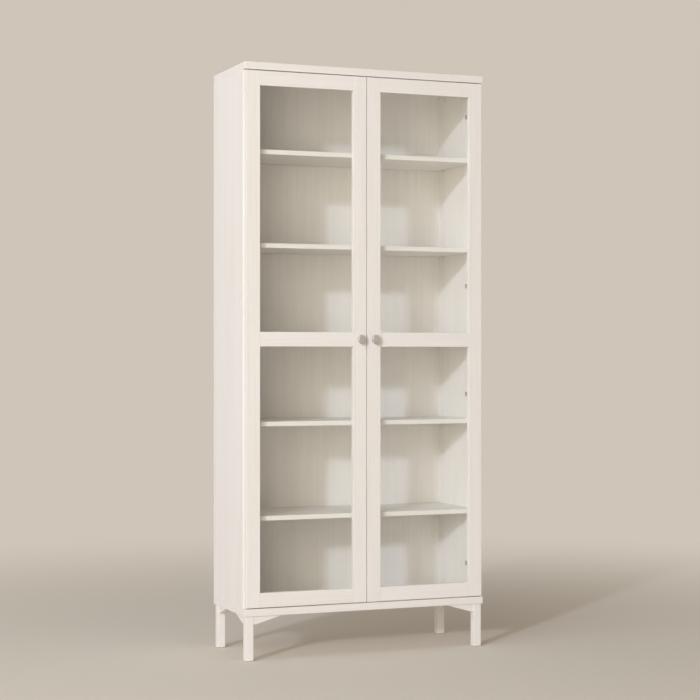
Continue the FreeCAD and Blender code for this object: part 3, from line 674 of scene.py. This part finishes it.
@dataclass
class Door:
    """A framed glass door with its knob and the moving halves of its hinges."""

    palette: Palette
    side: Side
    levels: HingeLevels = HingeLevels()
    cup_screw: CrossScrew = CrossScrew(
        head_radius=3.4, head_height=1.6, shank_radius=1.7, shank_length=10.0)
    cup_screw_spacing_mm: float = 48.0
    knob_screw: CrossScrew = CrossScrew(
        head_radius=4.0, head_height=2.2, shank_radius=2.0, shank_length=27.0)

    def build(self) -> None:
        """Makes the screws that hold the hinge cups and the knob."""
        body = f"{self.side.value}_door"
        backward = Vector((0.0, 1.0, 0.0))
        low, high = (Vector(corner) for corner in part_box(f"{body}_hinge_cup_screws"))
        x, y = (low.x + high.x) / 2, high.y - self.cup_screw.head_height * MM
        half = self.cup_screw_spacing_mm / 2 * MM
        seats = [Vector((x, y, level + side * half)) for level in self.levels.heights() for side in (-1, 1)]
        cups = screw_piece(f"{self.side.value}_cup_cross_screws", self.cup_screw,
                           [(seat, backward) for seat in seats], body, self.palette.fastener)
        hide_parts(f"{body}_hinge_cup_screws")
        low, high = (Vector(corner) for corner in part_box(f"{body}_knob_screw"))
        seat = (low + high) / 2
        seat.y = high.y - self.knob_screw.head_height * MM
        knob = screw_piece(f"{self.side.value}_knob_cross_screw", self.knob_screw, [(seat, backward)],
                           body, self.palette.fastener)
        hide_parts(f"{body}_knob_screw")

    def dress(self) -> None:
        """Finishes frame, glass, knob and hinge pieces."""
        name = f"{self.side.value}_door"
        for stile in ("hinge_stile", "meeting_stile"):
            paint(f"{name}_{stile}", self.palette.foil[Grain.UPRIGHT])
        for level in ("top", "middle", "bottom"):
            paint(f"{name}_{level}_rail", self.palette.foil[Grain.ACROSS])
        for level in ("upper", "lower"):
            paint(f"{name}_{level}_glass", self.palette.glass)
        paint(f"{name}_glass_beads", self.palette.foil[Grain.UPRIGHT])
        paint(f"{name}_knob", self.palette.knob)
        paint(f"{name}_hinge_cups", self.palette.hinge)
        paint(f"{name}_hinge_cup_pins", self.palette.pin)
        paint(f"{self.side.value}_hinge_links", self.palette.hinge)


@dataclass
class HingeMounts:
    """Arms and plates of the concealed hinges, on the side panels."""

    palette: Palette
    levels: HingeLevels = HingeLevels()
    plate_screw: CrossScrew = CrossScrew(
        head_radius=4.5, head_height=2.0, shank_radius=2.5, shank_length=12.0)
    plate_screw_spacing_mm: float = 32.0
    adjuster: CrossScrew = CrossScrew(
        head_radius=3.2, head_height=0.9, shank_radius=2.2, shank_length=1.2)
    # From the side panel's face to the arm's outer face
    arm_height_mm: float = 12.6
    adjusters_from_rear_mm: tuple[float, float] = (8.0, 26.0)

    def build(self) -> None:
        """Makes the screws that hold the plates, and the adjusting screws in the arms."""
        heights = self.levels.heights()
        low, high = (Vector(corner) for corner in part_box("hinge_plate_screws"))
        reach = high.x - self.plate_screw.shank_length * MM
        y, half = (low.y + high.y) / 2, self.plate_screw_spacing_mm / 2 * MM
        places = [(Vector((-inward * reach, y, level + side * half)), Vector((inward, 0.0, 0.0)))
                  for inward in (-1, 1) for level in heights for side in (-1, 1)]
        plates = screw_piece("plate_cross_screws", self.plate_screw, places, "cabinet",
                             self.palette.fastener)
        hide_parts("hinge_plate_screws")
        face = -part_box("left_side_panel")[1][0] - self.arm_height_mm * MM
        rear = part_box("hinge_arms")[1][1]
        places = [(Vector((-inward * face, rear - back * MM, level)), Vector((inward, 0.0, 0.0)))
                  for inward in (-1, 1) for level in heights for back in self.adjusters_from_rear_mm]
        screw_piece("hinge_arm_adjusters", self.adjuster, places, "cabinet", self.palette.fastener)

    def dress(self) -> None:
        """Finishes the fixed halves of the hinges."""
        paint("hinge_plates", self.palette.hinge)
        paint("hinge_arms", self.palette.hinge)
        paint("hinge_arm_pins", self.palette.pin)


# Stage, light and camera

@dataclass(frozen=True)
class SoftBox:
    """A square soft light that hangs at a place and is aimed at the cabinet."""

    name: str
    place: tuple[float, float, float]
    side: float
    power: float
    colour: str


@dataclass
class Studio:
    """A plain pale floor that fades into a plain backdrop, with the light on the cabinet.

    The light is even all round, with a low key light and two soft boxes from the left.
    """

    backdrop: str = "#CFC5B8"
    floor: str = "#EDE7DD"
    floor_radius: float = 40.0
    floor_sides: int = 96
    fade_start: float = 0.6
    fade_end: float = 4.2
    ambient: str = "#FFF2E2"
    ambient_strength: float = 0.329
    key_direction: tuple[float, float, float] = (1.11, 1.0, -0.453)
    key_spread_deg: float = 3.7
    key_strength: float = 1.06
    key_colour: str = "#E2EAFF"
    aim: tuple[float, float, float] = (0.0, 0.0, 1.05)
    soft_boxes: tuple[SoftBox, ...] = (
        SoftBox("front_left_light", (-4.0, -4.7, 1.8), side=3.5, power=161.0, colour="#FFF6E7"),
        SoftBox("left_light", (-3.0, -1.2, 4.4), side=2.5, power=38.0, colour="#E6F2FF"),
    )

    def seen_directly(self, tree: bpy.types.NodeTree) -> bpy.types.Node:
        """Adds a factor that is 1 where the backdrop shows, is mirrored or is seen through glass.

        Args:
            tree: The nodes of the floor or of the world.

        Returns:
            The node whose output is the factor.
        """
        path = add_node(tree, "ShaderNodeLightPath")
        seen = add_node(tree, "ShaderNodeMath", {
            0: path.outputs["Is Camera Ray"],
            1: path.outputs["Is Glossy Ray"],
        }, operation="MAXIMUM")
        return add_node(tree, "ShaderNodeMath", {
            0: seen,
            1: path.outputs["Is Transmission Ray"],
        }, operation="MAXIMUM")

    def build_floor(self) -> None:
        """Makes the floor disc, matt near the cabinet and of the backdrop's colour far away."""
        bpy.ops.mesh.primitive_circle_add(
            vertices=self.floor_sides, radius=self.floor_radius, fill_type="NGON")
        floor = bpy.context.object
        floor.name = "studio_floor"
        material = new_material("matt_floor_paper")
        tree = material.node_tree
        place = add_node(tree, "ShaderNodeTexCoord")
        distance = add_node(tree, "ShaderNodeVectorMath", {0: place.outputs["Object"]}, operation="LENGTH")
        far = add_node(tree, "ShaderNodeMapRange", {
            "Value": distance.outputs["Value"],
            "From Min": self.fade_start,
            "From Max": self.fade_end,
        }, interpolation_type="SMOOTHSTEP")
        seen = self.seen_directly(tree)
        share = add_node(tree, "ShaderNodeMath", {0: far, 1: seen}, operation="MULTIPLY")
        matt = add_node(tree, "ShaderNodeBsdfDiffuse", {"Color": linear(self.floor)})
        plain = add_node(tree, "ShaderNodeEmission", {"Color": linear(self.backdrop)})
        mixed = add_node(tree, "ShaderNodeMixShader", {0: share, 1: matt, 2: plain})
        add_node(tree, "ShaderNodeOutputMaterial", {"Surface": mixed})
        floor.data.materials.append(material)

    def build_world(self) -> None:
        """Makes the even light round the cabinet, with the backdrop where it is seen."""
        world = bpy.data.worlds.new("studio_surroundings")
        world.use_nodes = True
        tree = world.node_tree
        tree.nodes.clear()
        lit = add_node(tree, "ShaderNodeBackground",
                       {"Color": linear(self.ambient), "Strength": self.ambient_strength})
        shown = add_node(tree, "ShaderNodeBackground", {"Color": linear(self.backdrop), "Strength": 1.0})
        mixed = add_node(tree, "ShaderNodeMixShader", {0: self.seen_directly(tree), 1: lit, 2: shown})
        add_node(tree, "ShaderNodeOutputWorld", {"Surface": mixed})
        bpy.context.scene.world = world

    def hang(self, data: bpy.types.Light, place: Vector, direction: Vector) -> bpy.types.Object:
        """Puts a lamp in the scene.

        Args:
            data: The lamp.
            place: Where it hangs.
            direction: The way that it shines.

        Returns:
            The lamp as it hangs.
        """
        lamp = bpy.data.objects.new(data.name, data)
        lamp.location = place
        lamp.rotation_euler = direction.to_track_quat("-Z", "Y").to_euler()
        bpy.context.scene.collection.objects.link(lamp)
        return lamp

    def build_lamps(self) -> None:
        """Makes the key light, whose rays are parallel, and the soft boxes."""
        key = bpy.data.lights.new("key_light", "SUN")
        key.energy = self.key_strength
        key.color = linear(self.key_colour)[:3]
        key.angle = math.radians(self.key_spread_deg)
        aim = Vector(self.aim)
        direction = Vector(self.key_direction)
        # Its rays are parallel, so only its direction counts
        self.hang(key, aim - direction, direction)
        for box in self.soft_boxes:
            data = bpy.data.lights.new(box.name, "AREA")
            data.size = box.side
            data.energy = box.power
            data.color = linear(box.colour)[:3]
            lamp = self.hang(data, Vector(box.place), aim - Vector(box.place))
            # No white square is mirrored in the panes
            lamp.visible_glossy = False

    def build(self) -> None:
        """Makes floor, surroundings and lamps."""
        self.build_floor()
        self.build_world()
        self.build_lamps()
        bpy.context.scene.view_settings.view_transform = "Standard"


@dataclass
class PhotoCamera:
    """A level camera to the left of the cabinet, where the photograph was taken from."""

    # From the base panel's lower front corner on the left
    offset_mm: tuple[float, float, float] = (-1941.92, -5785.61, 892.61)
    turn_right_deg: float = 21.917
    focal_length_px: float = 1789.43
    horizon_px: float = 354.93
    sensor_mm: float = 36.0

    def build(self) -> None:
        """Makes the camera and gives it to the scene."""
        data = bpy.data.cameras.new("photo_camera")
        data.sensor_width = self.sensor_mm
        data.lens = self.focal_length_px * self.sensor_mm / PHOTO_SIDE_PX
        data.shift_y = (self.horizon_px - PHOTO_SIDE_PX / 2) / PHOTO_SIDE_PX
        camera = bpy.data.objects.new("photo_camera", data)
        corner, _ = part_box("base_panel")
        camera.location = Vector(corner) + Vector(self.offset_mm) * MM
        camera.rotation_euler = (math.pi / 2, 0.0, -math.radians(self.turn_right_deg))
        bpy.context.scene.collection.objects.link(camera)
        bpy.context.scene.camera = camera


def main() -> None:
    """Builds stage, camera and finishes in order."""
    logging.basicConfig(level=logging.INFO)
    PhotoCamera().build()
    Studio().build()
    palette = Palette()
    Carcass(palette).dress()
    Shelving(palette).dress()
    Stand(palette).dress()
    mounts = HingeMounts(palette)
    mounts.build()
    mounts.dress()
    for side in Side:
        door = Door(palette, side)
        door.build()
        door.dress()


if __name__ == "__main__":
    main()
